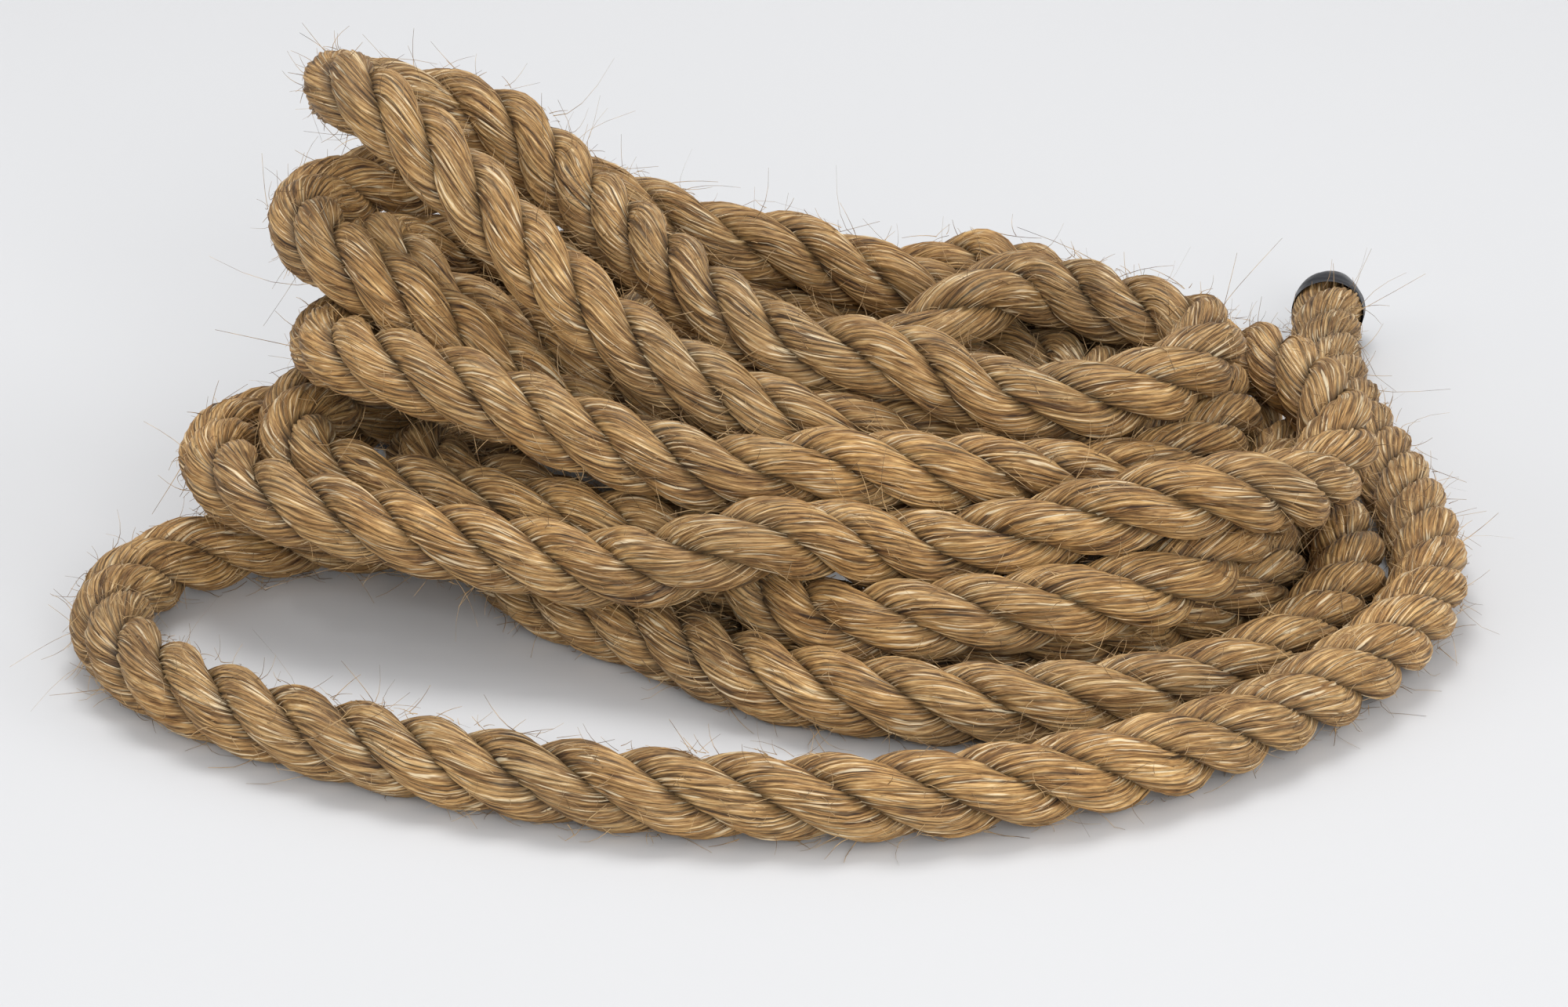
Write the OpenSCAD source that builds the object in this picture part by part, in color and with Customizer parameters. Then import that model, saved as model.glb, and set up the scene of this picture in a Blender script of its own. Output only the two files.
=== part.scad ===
// Coiled dock line: three-strand natural fibre rope, laid down in a loose coil.
// The turns rest on each other to the right and fan up into a stack of bights to the left.
// One outer turn lies loose around the coil and ends in a taped tail.
// Millimetres, +Z up, origin at the middle of the footprint on the surface below.

/* [Rope] */
// Diameter of the laid rope
rope_d = 24; // [20:1:26]
// Length of the tape wound around each end
tape_len = 19; // [12:1:24]
// Thickness of that tape
tape_t = 0.4; // [0.2:0.1:1]
// Direction of the outer tail, from +X
tail_heading = 79; // [74:1:84]

/* [Coil] */
// Height of the turns that lie in a pile
pile_h = 72; // [60:1:84]
// Height of the lowest bight's centreline at its nose
first_nose_z = 46; // [38:1:50]
// Rise from the pile to the top bight's nose, as a share of one rope diameter per bight
rise = 0.92; // [0.8:0.01:1]
// How far the top bight rolls away from level
top_roll = 16; // [10:1:24]

/* [Hidden] */

rope_r = rope_d / 2;
tape_r = rope_r + tape_t;
// Points around one ring of a tube: a multiple of 4, so that a tube rests on its lowest line
sides = 12;
// Segments around a bight's outline, and around its rounded edge
outline_fn = 32;
edge_fn = 16;
// Segments around the tape, and around the pile's outline
tape_fn = 64;
pile_fn = 96;

rope_colour = "burlywood";
tape_colour = "black";

// The loose turn's route on the surface, from the outer tail to where it runs in under the coil
LOOSE = [
    [188, 188], [183, 146], [183, 111], [188, 71], [194, 31], [198, -9], [193, -49],
    [181, -84], [160, -120], [132, -151], [92, -180], [46, -195], [-2, -198], [-52, -190],
    [-102, -170], [-148, -144], [-184, -113], [-199, -76], [-194, -38], [-165, -15],
    [-132, -6], [-102, -10]
];

// The inner tail's route on the surface, from under the coil to its taped end
INNER = [[-60, 98], [-88, 98], [-116, 94]];
inner_heading = 192;

// Circles that the pile's outline wraps, as x, y, radius
PILE = [[64, -38, 118], [76, 56, 92], [-30, 20, 100]];

// A bight's ends are rounded discs: x, y and centreline radius of its nose and of its bend
LOW = [[-119, -14, 52], [32, 14, 108]];
MIDDLE = [[-98, 0, 42], [-97, 38, 34], [52, 14, 82]];
UPPER = [[-110, 40, 40], [52, 16, 68]];
TOP = [[-103, 50, 36], [76, 0, 50]];
// Heights of their centrelines where they bend round on the pile
BEND_Z = [46, 52, 58, 70];
// The upper bight lies between the level ones and the rolled top one
upper_roll = top_roll / 2;

// Height of the nose that lies n rope diameters above the lowest
function nose_z(n) = first_nose_z + n * rise * rope_d;

function unit(v) = v / norm(v);

// Direction of a flat route at its point i, along the chord of its neighbours
function heading(route, i) =
    unit(route[min(i + 1, len(route) - 1)] - route[max(i - 1, 0)]);

// The same, but fixed at one end so that the tape's face meets the tube's
function heading_at(route, i, fixed_i, angle) =
    i == fixed_i ? [cos(angle), sin(angle)] : heading(route, i);

// One ring of a tube that lies on the surface, around point p and across direction d
function ring(p, d) = [
    for (k = [0 : sides - 1])
        let (a = 360 * k / sides)
        [p[0] - d[1] * rope_r * cos(a), p[1] + d[0] * rope_r * cos(a), rope_r * (1 + sin(a))]
];

// A tube swept along a flat route; its ring fixed_i is square to the given angle
module tube(route, fixed_i, angle) {
    rings = len(route);
    points = [
        for (i = [0 : rings - 1]) each ring(route[i], heading_at(route, i, fixed_i, angle))
    ];
    walls = [
        for (i = [0 : rings - 2], k = [0 : sides - 1])
            let (next = (k + 1) % sides)
            [i * sides + k, i * sides + next, (i + 1) * sides + next, (i + 1) * sides + k]
    ];
    first_cap = [for (k = [sides - 1 : -1 : 0]) k];
    last_cap = [for (k = [0 : sides - 1]) (rings - 1) * sides + k];
    polyhedron(points, concat([first_cap], walls, [last_cap]));
}

// A taped end: a plain cylinder that continues the rope from point p
module taped_end(p, angle) {
    translate([p[0], p[1], tape_r])
        rotate([0, 90, angle])
            cylinder(r = tape_r, h = tape_len, $fn = tape_fn);
}

// A rounded disc, the outer shape of one turn of rope around radius r
module rounded_disc(p, z, roll = 0) {
    translate([p[0], p[1], z])
        rotate([-roll, 0, 0])
            rotate_extrude($fn = outline_fn)
                translate([p[2], 0])
                    circle(d = rope_d, $fn = edge_fn);
}

module loose_turn() {
    color(rope_colour)
        tube(LOOSE, 0, tail_heading + 180);
}

module tail_tape() {
    color(tape_colour)
        taped_end(LOOSE[0], tail_heading);
}

module coil_pile() {
    color(rope_colour)
        linear_extrude(pile_h)
            hull()
                for (c = PILE)
                    translate([c[0], c[1]])
                        circle(r = c[2], $fn = pile_fn);
}

module low_bights() {
    color(rope_colour)
        hull() {
            rounded_disc(LOW[0], nose_z(0));
            rounded_disc(LOW[1], BEND_Z[0]);
        }
}

module middle_bights() {
    color(rope_colour)
        hull() {
            rounded_disc(MIDDLE[0], nose_z(1));
            rounded_disc(MIDDLE[1], nose_z(2));
            rounded_disc(MIDDLE[2], BEND_Z[1]);
        }
}

module upper_bight() {
    color(rope_colour)
        hull() {
            rounded_disc(UPPER[0], nose_z(3), upper_roll);
            rounded_disc(UPPER[1], BEND_Z[2]);
        }
}

module top_bight() {
    color(rope_colour)
        hull() {
            rounded_disc(TOP[0], nose_z(4), top_roll);
            rounded_disc(TOP[1], BEND_Z[3]);
        }
}

module inner_tail() {
    color(rope_colour)
        tube(INNER, len(INNER) - 1, inner_heading);
}

module inner_tape() {
    color(tape_colour)
        taped_end(INNER[len(INNER) - 1], inner_heading);
}

loose_turn();
tail_tape();
coil_pile();
low_bights();
middle_bights();
upper_bight();
top_bight();
inner_tail();
inner_tape();
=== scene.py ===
"""A coiled dock line of three-strand natural fibre rope, with taped ends."""
import math

import bpy
import numpy as np
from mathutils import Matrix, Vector


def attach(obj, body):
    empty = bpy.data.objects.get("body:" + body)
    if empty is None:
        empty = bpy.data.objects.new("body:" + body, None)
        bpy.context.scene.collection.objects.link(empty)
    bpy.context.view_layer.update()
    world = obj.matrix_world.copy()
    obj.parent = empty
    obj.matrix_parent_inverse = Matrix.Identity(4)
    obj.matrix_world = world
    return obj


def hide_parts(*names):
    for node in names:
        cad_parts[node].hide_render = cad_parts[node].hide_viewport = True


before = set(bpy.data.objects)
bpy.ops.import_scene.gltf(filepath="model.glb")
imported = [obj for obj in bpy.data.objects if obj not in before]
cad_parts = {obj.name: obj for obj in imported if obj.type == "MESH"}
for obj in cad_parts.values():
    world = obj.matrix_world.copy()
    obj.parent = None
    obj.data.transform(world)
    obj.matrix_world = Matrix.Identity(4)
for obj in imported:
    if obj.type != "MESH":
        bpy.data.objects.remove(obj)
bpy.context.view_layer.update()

# ---------------------------------------------------------------- sizes, in metres
MM = 0.001
ROPE_D = 24 * MM
ROPE_R = ROPE_D / 2
LAY_PITCH = 2.82 * ROPE_D          # length along the rope in which a strand goes round once
STRANDS = 3
STRAND_R = 5.85 * MM               # a strand's own radius
HELIX_R = ROPE_R - STRAND_R        # from the rope's centreline to a strand's
YARNS = 24                         # yarns that show around one strand
YARN_H = 0.56 * MM                 # height of a yarn's ridge
COLUMNS = 3                        # mesh columns to a yarn
YARN_SINK = 0.75                   # the yarns' feet lie this share of their height below STRAND_R
YARN_BACK = 0.92                   # how far the yarns turn back against the lay, 1 for all the way
ROUGH = 0.05 * MM                  # roughness of a yarn's surface
UNEVEN = 0.12 * MM                 # unevenness of a strand's radius and of its helix
THIN_END = 0.3                     # a strand's radius at its very ends, as a share of STRAND_R
TAPE_LEN = 19 * MM
TAPE_WIND = 13 * MM                # the tape moves on by this much with each turn around the rope
TAPE_EDGE = 1.6 * MM               # radius of the rounded edge at the tape's closed end
TAPER_LEN = 13 * MM                # the tape draws the last of the rope in
TAPER = 0.3                        # by this share of its radius, at the very end
HAIRS = 12000                      # stray fibres
HAIR_SEGMENTS = 4
HAIR_SIDES = 3
FLOOR_ROOM = 0.6 * MM              # under a rope that lies on the floor, for the yarns' ridges
STEP = 6 * MM                      # spacing of the route's points while it settles
RING = 2.4 * MM                    # spacing of the strands' rings
FLOOR_AT = (2 * MM, 46 * MM)       # where the camera's axis meets the floor

# ---------------------------------------------------------------- the route, in millimetres
# The loose outer turn, from the taped tail to where it runs in under the coil
LOOSE = [
    (192, 207), (188, 188), (183, 146), (183, 111), (188, 71), (194, 31), (198, -9),
    (193, -49), (181, -84), (160, -120), (132, -151), (92, -180), (46, -195), (-2, -198),
    (-52, -190), (-102, -170), (-148, -144), (-184, -113), (-199, -76), (-194, -38),
    (-165, -15), (-132, -6), (-102, -10), (-76, -32), (-52, -66), (-24, -102), (6, -126),
    (38, -136),
]

# The turns of the coil, as circles that the rope wraps one after another:
# x, y, radius (negative where it bends the other way), height in, height out
TURNS = [
    (68, -33, 104, 12, 12),
    (86, 44, 76, 12, 16),
    (-14, 60, 58, 26, 34),
    (-119, -14, 52, 42, 44),       # nose of the lowest bight
    (32, 24, 118, 34, 38),
    (88, -20, 76, 46, 46),
    (4, 0, 112, 50, 54),
    (-112, -4, 42, 50, 44),        # nose of the bight inside it
    (62, -12, 93, 33, 33),
    (46, 8, 88, 30, 34),
    (-98, 0, 42, 66, 82),          # nose of the lower middle bight
    (17, 39, 120, 60, 56),
    (64, 10, 72, 50, 52),
    (8, 8, 80, 54, 52),
    (-97, 38, 34, 84, 86),         # nose of the higher middle bight
    (62, 12, 60, 36, 50),
    (-110, 40, 40, 102, 100),      # nose of the upper bight
    (2, 16, 68, 44, 44),
    (52, 8, 54, 42, 54),
    (-8, 46, 42, 56, 58),
    (84, 2, -50, 60, 70),          # the rope bends the other way here, into the top bight
    (36, 34, -72, 76, 92),
    (-103, 50, 36, 108, 150),      # nose of the top bight
    (0, 30, 82, 88, 56),
    (44, 8, 44, 42, 34),
    (-76, 2, 38, 34, 26),          # a small low turn inside the coil
    (66, -12, 88, 12, 12),
]

# The inner end, on the floor from under the turns to its taped end at the back left
INNER = [(24, 80), (-20, 91), (-60, 98), (-88, 98), (-116, 94), (-135, 90)]


def resample(points, step):
    """The same line with its points evenly spaced."""
    seg = np.linalg.norm(np.diff(points, axis=0), axis=1)
    at = np.concatenate([[0.0], np.cumsum(seg)])
    count = int(round(at[-1] / step))
    wanted = np.linspace(0.0, at[-1], count + 1)
    return np.stack([np.interp(wanted, at, points[:, k]) for k in range(3)], axis=1)


def smooth(points, rounds):
    """Each point drawn towards its neighbours, the ends kept."""
    out = points.copy()
    for _ in range(rounds):
        out[1:-1] = 0.5 * out[1:-1] + 0.25 * (out[:-2] + out[2:])
    return out


def heading(points, i):
    """Direction in the plane from point i to the next, in radians."""
    x, y = (points[i + 1] - points[i])[:2]
    return math.atan2(y, x)


def wrap(turns, step, way_in, way_out):
    """The line of a rope pulled round the circles, between two headings in radians."""
    most_lean = 0.99                   # for circles that overlap too far to have a tangent
    nearly_whole = math.radians(350)   # a turn this long is a small step back, taken as none
    centres = [np.array(t[:2], float) for t in turns]
    radii = [t[2] for t in turns]
    headings = []
    for i in range(len(turns) - 1):
        gap = centres[i + 1] - centres[i]
        lean = (radii[i] - radii[i + 1]) / np.hypot(*gap)
        lean = max(-most_lean, min(most_lean, lean))
        headings.append(math.atan2(gap[1], gap[0]) + math.asin(lean))
    points = []
    for i, (x, y, radius, z_in, z_out) in enumerate(turns):
        first = headings[i - 1] if i > 0 else way_in
        last = headings[i] if i < len(headings) else way_out
        way = 1 if radius > 0 else -1
        turn = ((last - first) * way) % (2 * math.pi)
        if turn > nearly_whole:
            turn = 0.0
        count = max(2, int(abs(radius) * turn / step) + 1)
        for k in range(count + 1):
            share = k / count
            h = first + way * turn * share
            points.append((
                x + radius * math.sin(h),
                y - radius * math.cos(h),
                z_in + (z_out - z_in) * share,
            ))
    return np.array(points)


def close_pairs(x, reach, apart):
    """Index pairs of points that are near in space but not along the line."""
    gap = x[:, None, :] - x[None, :, :]
    near = np.einsum("ijk,ijk->ij", gap, gap) < reach * reach
    a, b = np.nonzero(near)
    keep = b - a > apart
    return a[keep], b[keep]


def settle(x):
    """Let the rope lie on the floor and on itself, keeping its length and its stiffness."""
    rounds, search_every = 300, 5
    pull, sink, stiffness, soften = 0.02, 0.05, 0.45, 0.6
    reach, apart = 1.35, 8             # contacts: reach in diameters, points apart on the line
    step = STEP / MM
    d = ROPE_D / MM
    lowest = d / 2 + FLOOR_ROOM / MM
    wanted = x.copy()
    for count in range(rounds):
        x = x + (wanted - x) * pull
        x[:, 2] -= sink
        bend = np.zeros_like(x)
        bend[1:-1] = 0.5 * (x[:-2] + x[2:]) - x[1:-1]
        second = np.zeros_like(x)
        second[1:-1] = 0.5 * (bend[:-2] + bend[2:]) - bend[1:-1]
        x -= stiffness * second
        if count % search_every == 0:
            a, b = close_pairs(x, reach * d, apart)
        v = x[b] - x[a]
        length = np.linalg.norm(v, axis=1)
        push = np.clip(d - length, 0.0, None)
        half = v / length[:, None] * (0.5 * push)[:, None]
        moved = np.zeros_like(x)
        hits = np.zeros(len(x))
        np.add.at(moved, a, -half)
        np.add.at(moved, b, half)
        np.add.at(hits, a, push > 0)
        np.add.at(hits, b, push > 0)
        x += moved / np.maximum(1.0, soften * hits)[:, None]
        x[:, 2] = np.maximum(x[:, 2], lowest)
        for first in (0, 1):
            i = np.arange(first, len(x) - 1, 2)
            v = x[i + 1] - x[i]
            length = np.linalg.norm(v, axis=1)
            fix = v * ((length - step) / length * 0.5)[:, None]
            x[i] += fix
            x[i + 1] -= fix
    return x


def on_floor(route):
    """A flat route as points of a rope that lies on the floor."""
    return np.array([(x, y, (ROPE_R + FLOOR_ROOM) / MM) for x, y in route], float)


def centreline():
    """The rope's centreline in metres, from the taped tail to the inner end."""
    step = STEP / MM
    loose = on_floor(LOOSE)
    inner = on_floor(INNER)
    coil = wrap(TURNS, step, heading(loose, -2), heading(inner, 0))
    route = resample(np.vstack([loose, coil, inner]), step)
    route = resample(smooth(route, 20), step)
    route = settle(route)
    route = smooth(resample(route, RING / MM), 6)
    return resample(route, RING / MM) * MM


# ---------------------------------------------------------------- frames along the rope
def frames(line):
    """Tangent and two normals at each point, carried along without twist."""
    tangent = np.gradient(line, axis=0)
    tangent /= np.linalg.norm(tangent, axis=1)[:, None]
    side = np.zeros_like(line)
    start = np.cross(tangent[0], (0.0, 0.0, 1.0))
    side[0] = start / np.linalg.norm(start)
    for i in range(1, len(line)):
        v = side[i - 1] - tangent[i] * side[i - 1].dot(tangent[i])
        side[i] = v / np.linalg.norm(v)
    return tangent, side, np.cross(tangent, side)


def lengths(line):
    """Distance along the line at each point."""
    seg = np.linalg.norm(np.diff(line, axis=0), axis=1)
    return np.concatenate([[0.0], np.cumsum(seg)])


def wobble(at, seed, wave, size):
    """A random curve along the rope: a new value of about this size at every wave's length."""
    rng = np.random.default_rng(seed)
    knots = np.arange(0.0, at[-1] + 2 * wave, wave)
    values = rng.normal(0.0, size, len(knots))
    return np.interp(at, knots, values)


def drawn_in(at):
    """How far the tape squeezes the rope at each distance from its nearer end."""
    return 1.0 - TAPER * np.clip(1.0 - at / TAPER_LEN, 0.0, 1.0) ** 2


def strand_line(line, index):
    """One strand's own centreline, a right-hand helix round the rope's."""
    _, side, up = frames(line)
    at = lengths(line)
    turn = 2 * math.pi * (at / LAY_PITCH + index / STRANDS) + wobble(at, 5, 0.05, 0.10)
    radius = HELIX_R + wobble(at, 20 + index, 0.03, UNEVEN)
    radius *= drawn_in(np.minimum(at, at[-1] - at))
    outward = side * np.cos(turn)[:, None] + up * np.sin(turn)[:, None]
    return line + outward * radius[:, None]


# ---------------------------------------------------------------- meshes
def mesh_object(name, points, faces, uvs=None, values=None):
    """A mesh from arrays: quads as indices, UVs a corner each, named values a point each."""
    mesh = bpy.data.meshes.new(name)
    count = len(faces)
    mesh.vertices.add(len(points))
    mesh.vertices.foreach_set("co", np.asarray(points, np.float32).ravel())
    mesh.loops.add(count * 4)
    mesh.loops.foreach_set("vertex_index", np.asarray(faces, np.int32).ravel())
    mesh.polygons.add(count)
    mesh.polygons.foreach_set("loop_start", np.arange(0, count * 4, 4, dtype=np.int32))
    mesh.polygons.foreach_set("loop_total", np.full(count, 4, np.int32))
    mesh.update(calc_edges=True)
    for layer, data in (uvs or {}).items():
        mesh.uv_layers.new(name=layer).data.foreach_set("uv", np.asarray(data, np.float32).ravel())
    for layer, data in (values or {}).items():
        attribute = mesh.attributes.new(layer, "FLOAT", "POINT")
        attribute.data.foreach_set("value", np.asarray(data, np.float32))
    mesh.polygons.foreach_set("use_smooth", np.ones(count, bool))
    mesh.validate()
    obj = bpy.data.objects.new(name, mesh)
    bpy.context.scene.collection.objects.link(obj)
    return obj


def tube_faces(rings, around):
    """Quads between neighbouring rings of a tube."""
    i, k = np.meshgrid(np.arange(rings - 1), np.arange(around), indexing="ij")
    nxt = (k + 1) % around
    quad = np.stack([i * around + k, i * around + nxt,
                     (i + 1) * around + nxt, (i + 1) * around + k], axis=-1)
    return quad.reshape(-1, 4), i.ravel(), k.ravel()


def strand_frame(line, own):
    """Two normals at each point of a strand's centreline: away from the rope's, and across."""
    tangent = np.gradient(own, axis=0)
    tangent /= np.linalg.norm(tangent, axis=1)[:, None]
    outward = own - line
    outward -= tangent * np.einsum("ij,ij->i", outward, tangent)[:, None]
    outward /= np.linalg.norm(outward, axis=1)[:, None]
    return outward, np.cross(tangent, outward)


def yarn_values(at, index):
    """How high each yarn of a strand stands, how far it strays sideways, and its tone."""
    height = np.zeros((len(at), YARNS))
    stray = np.zeros((len(at), YARNS))
    tone = np.zeros((len(at), YARNS))
    for k in range(YARNS):
        seed = 1000 * index + 10 * k
        height[:, k] = np.clip(1.0 + wobble(at, seed, 0.009, 0.5), 0.0, 1.9)
        stray[:, k] = wobble(at, seed + 1, 0.009, 0.12)
        tone[:, k] = 0.5 + wobble(at, seed + 2, 0.03, 0.22)
    return height, stray, tone


def strand(line, index, name):
    """One strand, whose yarns lie as ridges along its surface, nearly in line with the rope."""
    around = YARNS * COLUMNS
    column = np.arange(around)
    own = strand_line(line, index)
    outward, across = strand_frame(line, own)
    at = lengths(line)
    height, stray, tone = yarn_values(at, index)
    # the yarns turn back against the lay, so that they run along the rope where they show
    back = 2 * math.pi * ROPE_R / LAY_PITCH / STRAND_R
    angle = column * 2 * math.pi / around
    psi = angle[None, :] - (back * YARN_BACK * at)[:, None]
    psi += wobble(at, 40 + index, 0.04, 0.15)[:, None]
    yarn = column // COLUMNS
    beside = (yarn + (column % COLUMNS > 0) - 1) % YARNS
    psi += 0.5 * (stray[:, yarn] + stray[:, beside])
    ridge = np.abs(np.sin(column * math.pi / COLUMNS))
    lift = height[:, yarn] * ridge[None, :] * YARN_H
    rng = np.random.default_rng(60 + index)
    lift += rng.normal(0.0, ROUGH, lift.shape)
    radius = STRAND_R - YARN_SINK * YARN_H + lift + wobble(at, 80 + index, 0.02, UNEVEN)[:, None]
    radius *= drawn_in(np.minimum(at, at[-1] - at))[:, None]
    # the last two rings at each end are thin, to stay inside the tape
    radius[[0, 1, -2, -1]] = THIN_END * STRAND_R
    points = (own[:, None, :]
              + outward[:, None, :] * (np.cos(psi) * radius)[..., None]
              + across[:, None, :] * (np.sin(psi) * radius)[..., None])
    faces, i, k = tube_faces(len(at), around)
    u = np.stack([at[i], at[i], at[i + 1], at[i + 1]], axis=-1)
    v = np.stack([k, k + 1, k + 1, k], axis=-1) * (2 * math.pi * STRAND_R / around)
    uv = np.stack([u, v + index * 0.1], axis=-1)
    # groove: 1 in the hollows between yarns, where the material paints shade
    groove = 1.0 - np.repeat(ridge[None, :], len(at), axis=0)
    # crease: 1 where the strand faces the rope's middle, for painted shade between strands
    crease = 0.5 - 0.5 * np.cos(psi)
    values = {
        "groove": groove.ravel(),
        "crease": crease.ravel(),
        "tone": tone[:, yarn].ravel(),
    }
    return mesh_object(name, points.reshape(-1, 3), faces, {"Lay": uv}, values)


def tape_radius(s, angle):
    """The tape's radius at a distance from its closed end, for each angle around the rope."""
    room, lobe_h, layer_h, fold_h = 0.25 * MM, 0.25 * MM, 0.18 * MM, 0.09 * MM
    lobes = lobe_h * np.cos(STRANDS * (angle - 2 * math.pi * s / LAY_PITCH))
    layer = layer_h * ((s / TAPE_WIND + angle / (2 * math.pi)) % 1.0 > 0.5)
    folds = sum(fold_h * np.cos(m * angle + 2 * m * m + s / (4 * MM)) for m in range(4, 10))
    folds = folds * (1.0 - drawn_in(s)) / TAPER
    edge = 1.0
    if s < TAPE_EDGE:
        edge = 0.9 + 0.1 * math.sqrt(max(0.0, 1 - (1 - s / TAPE_EDGE) ** 2))
    return (ROPE_R + room + lobes + layer + folds) * drawn_in(s) * edge


def taped(line, from_end, name):
    """The tape wound over an end of the rope, closed over the cut."""
    around, rows, edge_rows = 72, 22, 8
    path = line if from_end == 0 else line[::-1]
    at = lengths(path)
    _, side, up = frames(path)
    quarter = np.linspace(0.0, math.pi / 2, edge_rows + 1)[1:]
    stations = np.concatenate([
        np.linspace(TAPE_LEN, TAPE_EDGE, rows),
        TAPE_EDGE * (1 - np.sin(quarter)),
    ])
    angle = np.arange(around) * 2 * math.pi / around
    points = []
    for s in stations:
        p = np.array([np.interp(s, at, path[:, k]) for k in range(3)])
        i = int(np.clip(np.searchsorted(at, s), 0, len(at) - 1))
        r = tape_radius(s, angle)
        across = side[i] * (np.cos(angle) * r)[:, None] + up[i] * (np.sin(angle) * r)[:, None]
        points.append(p + across)
    rim = points[-1]
    tip = rim.mean(axis=0)
    for share in (0.8, 0.55, 0.3, 0.08):
        points.append(tip + (rim - tip) * share)
    faces, _, _ = tube_faces(len(points), around)
    return mesh_object(name, np.concatenate(points), faces)


def hair(base, way, curl, reach, thick):
    """Points of one stray fibre: a fine tube that curves away and thins towards its tip."""
    first = np.cross(way, (0.3, 0.5, 0.8))
    first /= np.linalg.norm(first)
    second = np.cross(way, first)
    points = []
    for k in range(HAIR_SEGMENTS + 1):
        t = k / HAIR_SEGMENTS
        centre = base + way * reach * t + curl * reach * t * t * 0.6
        centre[2] = max(centre[2], 0.3 * MM)
        r = thick * (1 - 0.55 * t)
        for j in range(HAIR_SIDES):
            b = 2 * math.pi * j / HAIR_SIDES
            points.append(centre + (first * math.cos(b) + second * math.sin(b)) * r)
    return points


def hairs(line, count, name):
    """Stray fibres that stand off the rope, fewer where another leg of it lies close."""
    rng = np.random.default_rng(7)
    tangent, side, up = frames(line)
    coarse = line[::5]
    end_rings = 8                      # without fibres, at each end under the tape
    usual, spread, shortest, longest = 5.5 * MM, 0.55, 2 * MM, 34 * MM
    standing = 0.6                     # share of the fibres that stand up from the rope
    points = []
    tries = 0
    while len(points) < count and tries < 8 * count:
        tries += 1
        i = int(rng.integers(end_rings, len(line) - end_rings))
        a = rng.uniform(0, 2 * math.pi)
        out = side[i] * math.cos(a) + up[i] * math.sin(a)
        base = line[i] + out * ROPE_R * 0.96
        gap = np.linalg.norm(coarse - (line[i] + out * (ROPE_R + 2.5 * MM)), axis=1)
        if gap.min() < ROPE_R * 0.97:
            continue
        reach = float(np.clip(rng.lognormal(math.log(usual), spread), shortest, longest))
        lifted = rng.uniform(0.25, 1.3) if rng.random() < standing else rng.uniform(0.02, 0.2)
        way = tangent[i] * rng.choice((-1, 1)) * rng.uniform(0.5, 1.6)
        way = way + out * lifted + np.cross(tangent[i], out) * rng.normal(0, 0.5)
        way /= np.linalg.norm(way)
        curl = rng.normal(0, 1, 3)
        curl -= way * curl.dot(way)
        curl *= rng.uniform(0.3, 1.4)
        thick = rng.uniform(0.09, 0.16) * MM
        points.append(hair(base, way, curl, reach, thick))
    one, _, _ = tube_faces(HAIR_SEGMENTS + 1, HAIR_SIDES)
    size = (HAIR_SEGMENTS + 1) * HAIR_SIDES
    faces = np.concatenate([one + size * n for n in range(len(points))])
    return mesh_object(name, np.array(points).reshape(-1, 3), faces)


# ---------------------------------------------------------------- materials
class Nodes:
    """Short calls for making a material's nodes."""

    def __init__(self, name):
        self.material = bpy.data.materials.new(name)
        self.material.use_nodes = True
        self.tree = self.material.node_tree
        self.tree.nodes.clear()
        self.output = self.tree.nodes.new("ShaderNodeOutputMaterial")
        self.shader = self.tree.nodes.new("ShaderNodeBsdfPrincipled")
        self.join(self.shader.outputs[0], self.output.inputs["Surface"])

    def new(self, kind, **settings):
        node = self.tree.nodes.new(kind)
        for key, value in settings.items():
            if key in node.inputs:
                node.inputs[key].default_value = value
            else:
                setattr(node, key, value)
        return node

    def join(self, a, b):
        self.tree.links.new(a, b)

    def scaled(self, vector, scale):
        node = self.new("ShaderNodeMapping")
        node.inputs["Scale"].default_value = scale
        self.join(vector, node.inputs["Vector"])
        return node.outputs[0]

    def noise(self, vector, scale, detail=3.0, roughness=0.5):
        node = self.new("ShaderNodeTexNoise", Scale=scale, Detail=detail, Roughness=roughness)
        self.join(vector, node.inputs["Vector"])
        return node.outputs["Fac"]

    def ramp(self, value, stops):
        node = self.new("ShaderNodeValToRGB")
        ramp = node.color_ramp
        while len(ramp.elements) < len(stops):
            ramp.elements.new(0.5)
        for element, (place, colour) in zip(ramp.elements, stops):
            element.position = place
            element.color = colour if len(colour) == 4 else (*colour, 1.0)
        self.join(value, node.inputs[0])
        return node.outputs[0]

    def mix(self, kind, factor, a, b):
        node = self.new("ShaderNodeMix", data_type="RGBA", blend_type=kind)
        for socket, value in ((node.inputs[0], factor), (node.inputs[6], a), (node.inputs[7], b)):
            if hasattr(value, "links"):
                self.join(value, socket)
            else:
                socket.default_value = value
        return node.outputs[2]

    def math(self, kind, a, b=None):
        node = self.new("ShaderNodeMath", operation=kind)
        for socket, value in zip(node.inputs, (a, b)):
            if value is None:
                continue
            if hasattr(value, "links"):
                self.join(value, socket)
            else:
                socket.default_value = value
        return node.outputs[0]


def grey(v):
    return (v, v, v, 1.0)


STRAW = (0.86, 0.72, 0.48, 1.0)     # the palest fibres, thin threads here and there


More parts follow.
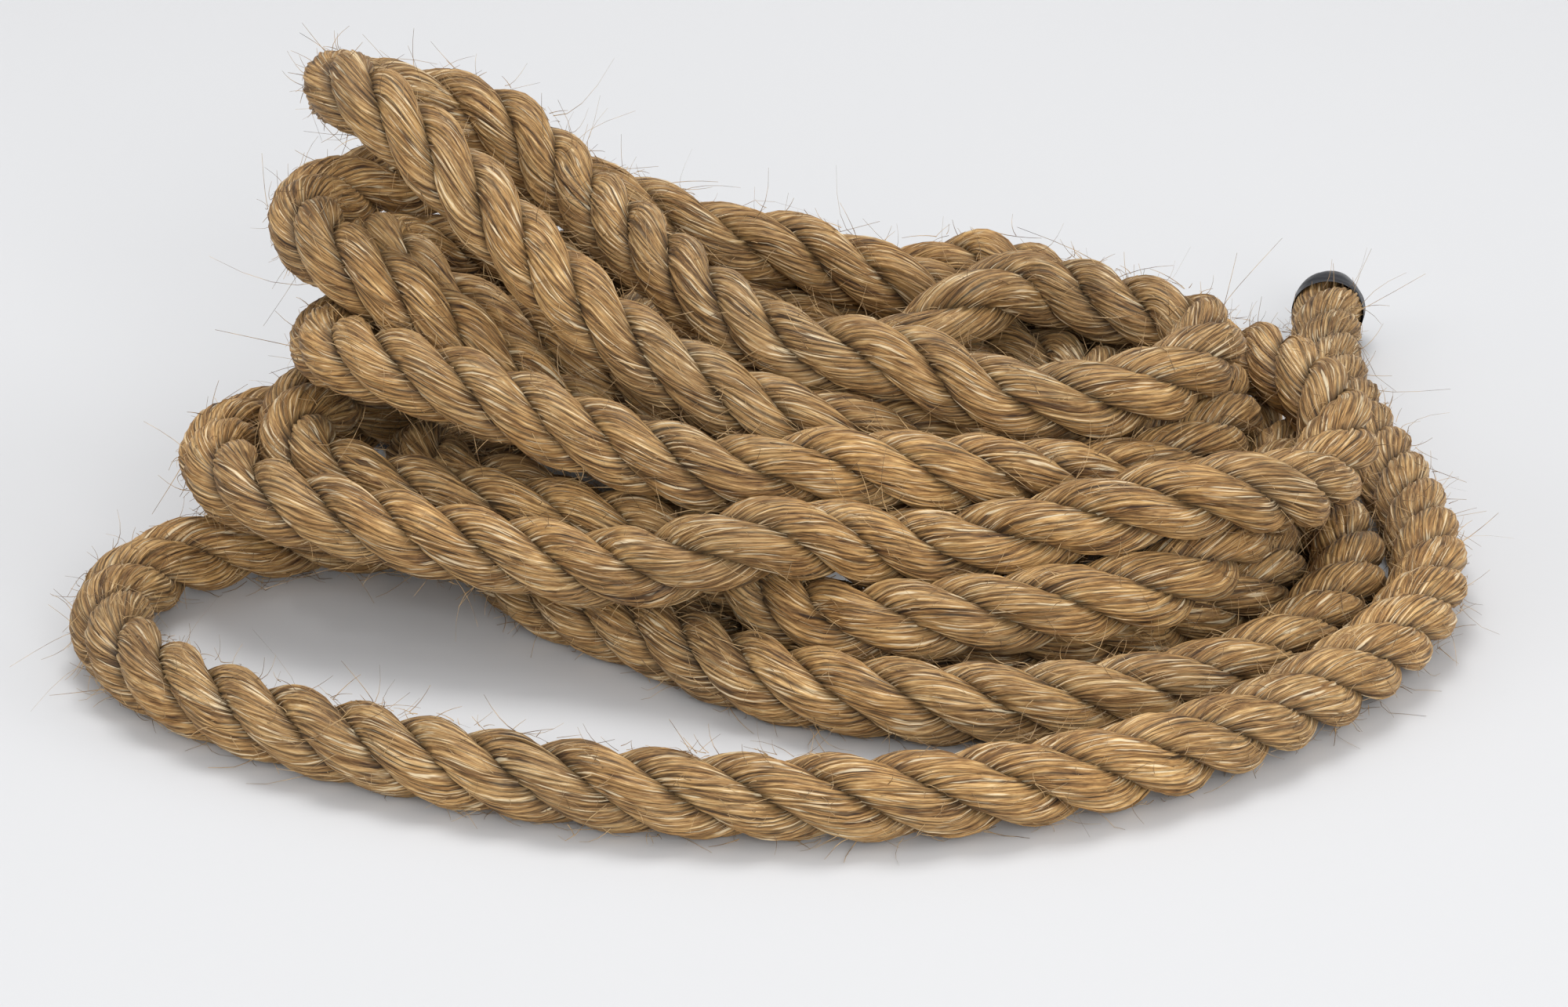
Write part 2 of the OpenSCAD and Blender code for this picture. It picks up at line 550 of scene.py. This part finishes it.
def fibre_material():
    """Manila: golden to brown fibres in long streaks, with painted shade between yarns and
    strands.
    """
    n = Nodes("manila_fibre")
    lay = n.new("ShaderNodeUVMap", uv_map="Lay").outputs[0]
    place = n.new("ShaderNodeTexCoord").outputs["Object"]
    streak = n.noise(n.scaled(lay, (95, 900, 1)), 1.0, 4.0, 0.62)
    fine = n.noise(n.scaled(lay, (240, 3600, 1)), 1.0, 3.0, 0.6)
    # noise that makes the painted shade between yarns stronger in some stretches than others
    groove_shade_breakup = n.noise(n.scaled(lay, (60, 260, 1)), 1.0, 2.0, 0.5)
    patch = n.noise(place, 14.0, 3.0, 0.55)
    tone = n.new("ShaderNodeAttribute", attribute_name="tone").outputs["Fac"]
    groove = n.new("ShaderNodeAttribute", attribute_name="groove").outputs["Fac"]
    crease = n.new("ShaderNodeAttribute", attribute_name="crease").outputs["Fac"]
    threads = n.noise(n.scaled(lay, (85, 1700, 1)), 1.0, 2.0, 0.5)
    value = n.math("ADD", n.math("MULTIPLY", streak, 0.5), n.math("MULTIPLY", fine, 0.5))
    value = n.math("ADD", value, n.math("MULTIPLY", n.math("SUBTRACT", tone, 0.5), 0.16))
    base = n.ramp(value, [
        (0.34, (0.055, 0.022, 0.005)),
        (0.43, (0.21, 0.106, 0.032)),
        (0.52, (0.42, 0.245, 0.090)),
        (0.61, (0.61, 0.405, 0.178)),
        (0.70, (0.87, 0.72, 0.47)),
    ])
    wide = n.ramp(patch, [(0.36, (0.80, 0.79, 0.80)), (0.64, (1.12, 1.06, 0.96))])
    base = n.mix("MULTIPLY", 0.9, base, wide)
    # painted shade: the colour is darkened in the grooves between the yarns
    depth = n.math("MULTIPLY", groove, n.ramp(groove_shade_breakup, [(0.40, grey(0.5)), (0.60, grey(1.0))]))
    dark = n.ramp(depth, [(0.15, grey(1.0)), (0.60, grey(0.58)), (1.0, grey(0.12))])
    base = n.mix("MULTIPLY", 0.9, base, dark)
    # painted shade where the strands press on each other
    base = n.mix("MULTIPLY", 0.9, base, n.ramp(crease, [(0.30, grey(1.0)), (0.56, grey(0.42))]))
    base = n.mix("MULTIPLY", 0.9, base, n.ramp(threads, [(0.59, grey(1.0)), (0.66, grey(0.36))]))
    base = n.mix("MIX", n.ramp(threads, [(0.34, grey(0.6)), (0.40, grey(0.0))]), base, STRAW)
    n.join(base, n.shader.inputs["Base Color"])
    rough = n.ramp(value, [(0.36, grey(0.70)), (0.66, grey(0.36))])
    n.join(rough, n.shader.inputs["Roughness"])
    n.shader.inputs["Specular IOR Level"].default_value = 0.35
    n.shader.inputs["Sheen Weight"].default_value = 0.06
    n.shader.inputs["Sheen Roughness"].default_value = 0.45
    n.shader.inputs["Sheen Tint"].default_value = (0.95, 0.82, 0.6, 1.0)
    bump = n.new("ShaderNodeBump", Strength=1.0, Distance=0.0009)
    n.join(value, bump.inputs["Height"])
    n.join(bump.outputs[0], n.shader.inputs["Normal"])
    return n.material


def hair_material():
    """Single fibres, brown to straw-coloured."""
    n = Nodes("stray_fibre")
    place = n.new("ShaderNodeTexCoord").outputs["Object"]
    tone = n.noise(place, 160.0, 2.0, 0.5)
    base = n.ramp(tone, [(0.38, (0.13, 0.070, 0.026)), (0.62, (0.50, 0.33, 0.155))])
    n.join(base, n.shader.inputs["Base Color"])
    n.shader.inputs["Roughness"].default_value = 0.5
    return n.material


def tape_material():
    """Black vinyl tape, slightly glossy, with small scuffs and stretch wrinkles."""
    n = Nodes("black_tape")
    place = n.new("ShaderNodeTexCoord").outputs["Object"]
    grain = n.noise(place, 900.0, 3.0, 0.6)
    scuff = n.noise(place, 140.0, 4.0, 0.65)
    base = n.ramp(scuff, [(0.45, (0.004, 0.004, 0.006)), (0.75, (0.016, 0.017, 0.022))])
    n.join(base, n.shader.inputs["Base Color"])
    rough = n.ramp(scuff, [(0.35, grey(0.24)), (0.7, grey(0.5))])
    n.join(rough, n.shader.inputs["Roughness"])
    n.shader.inputs["Specular IOR Level"].default_value = 0.3
    bump = n.new("ShaderNodeBump", Strength=0.25, Distance=0.0003)
    n.join(grain, bump.inputs["Height"])
    n.join(bump.outputs[0], n.shader.inputs["Normal"])
    return n.material


# ---------------------------------------------------------------- camera, floor and light
def aim(obj, target):
    """Turn an object so that its -Z axis points at the target."""
    obj.rotation_euler = (Vector(target) - obj.location).to_track_quat("-Z", "Y").to_euler()


def camera():
    """A long lens, looking 22 degrees down from the front."""
    distance = 1.516
    down = math.radians(22)
    data = bpy.data.cameras.new("camera")
    data.lens = 109.8
    data.sensor_width = 36
    obj = bpy.data.objects.new("camera", data)
    bpy.context.scene.collection.objects.link(obj)
    x, y = FLOOR_AT
    obj.location = (x, y - distance * math.cos(down), distance * math.sin(down))
    obj.rotation_euler = (math.radians(90) - down, 0.0, 0.0)
    bpy.context.scene.camera = obj


def floor():
    """A seamless pale sweep, flat under the coil, that rises behind it."""
    half = 14.0
    near, far, height, bend, bend_steps = -14.0, 1.8, 6.0, 1.2, 16
    profile = [(near, 0.0), (far, 0.0)]
    for k in range(1, bend_steps + 1):
        a = k / bend_steps * math.pi / 2
        profile.append((far + bend * math.sin(a), bend * (1 - math.cos(a))))
    profile.append((far + bend, height))
    points = [(x, y, z) for y, z in profile for x in (-half, half)]
    faces = [(2 * i, 2 * i + 1, 2 * i + 3, 2 * i + 2) for i in range(len(profile) - 1)]
    obj = mesh_object("floor", points, faces)
    n = Nodes("pale_sweep")
    place = n.new("ShaderNodeTexCoord").outputs["Object"]
    shades = [(0.3, (0.550, 0.551, 0.557)), (0.7, (0.565, 0.566, 0.572))]
    tone = n.ramp(n.noise(place, 1.2, 2.0, 0.5), shades)
    n.join(tone, n.shader.inputs["Base Color"])
    n.shader.inputs["Roughness"].default_value = 0.75
    obj.data.materials.append(n.material)


def lamp(name, place, target, size, power):
    """A soft square light."""
    data = bpy.data.lights.new(name, "AREA")
    data.size = size
    data.energy = power
    obj = bpy.data.objects.new(name, data)
    bpy.context.scene.collection.objects.link(obj)
    obj.location = place
    aim(obj, target)


def lights():
    """Large soft lamps from above, in front, the left and the right."""
    lamp("top", (-0.1, 0.7, 2.2), (0.0, 0.0, 0.0), 1.1, 28)
    lamp("front", (0.6, -2.6, 1.0), (0.0, 0.0, 0.05), 1.3, 46)
    lamp("left", (-2.0, -0.9, 1.1), (0.0, 0.0, 0.05), 1.2, 9)
    lamp("right", (2.0, -0.5, 1.0), (0.0, 0.0, 0.05), 1.2, 12)


def room():
    """An even, nearly white light from all around, and colours shown without a film curve."""
    world = bpy.data.worlds.new("room")
    world.use_nodes = True
    background = world.node_tree.nodes["Background"]
    background.inputs["Color"].default_value = (0.97, 0.98, 1.0, 1.0)
    background.inputs["Strength"].default_value = 0.80
    bpy.context.scene.world = world
    bpy.context.scene.view_settings.view_transform = "Standard"


# ---------------------------------------------------------------- build
camera()
line = centreline()
fibre = fibre_material()
names = ["strand_%d" % (k + 1) for k in range(STRANDS)]
strands = [strand(line, k, name) for k, name in enumerate(names)]
for piece in strands:
    piece.data.materials.append(fibre)
    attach(piece, "root")
vinyl = tape_material()
tapes = [taped(line, 0, "tail_tape_wrap"), taped(line, 1, "inner_tape_wrap")]
for piece in tapes:
    piece.data.materials.append(vinyl)
    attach(piece, "root")
fuzz = hairs(line, HAIRS, "stray_fibres")
fuzz.data.materials.append(hair_material())
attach(fuzz, "root")
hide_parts("loose_turn", "coil_pile", "low_bights", "middle_bights",
            "upper_bight", "top_bight", "inner_tail")
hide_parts("tail_tape")
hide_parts("inner_tape")

floor()
lights()
room()
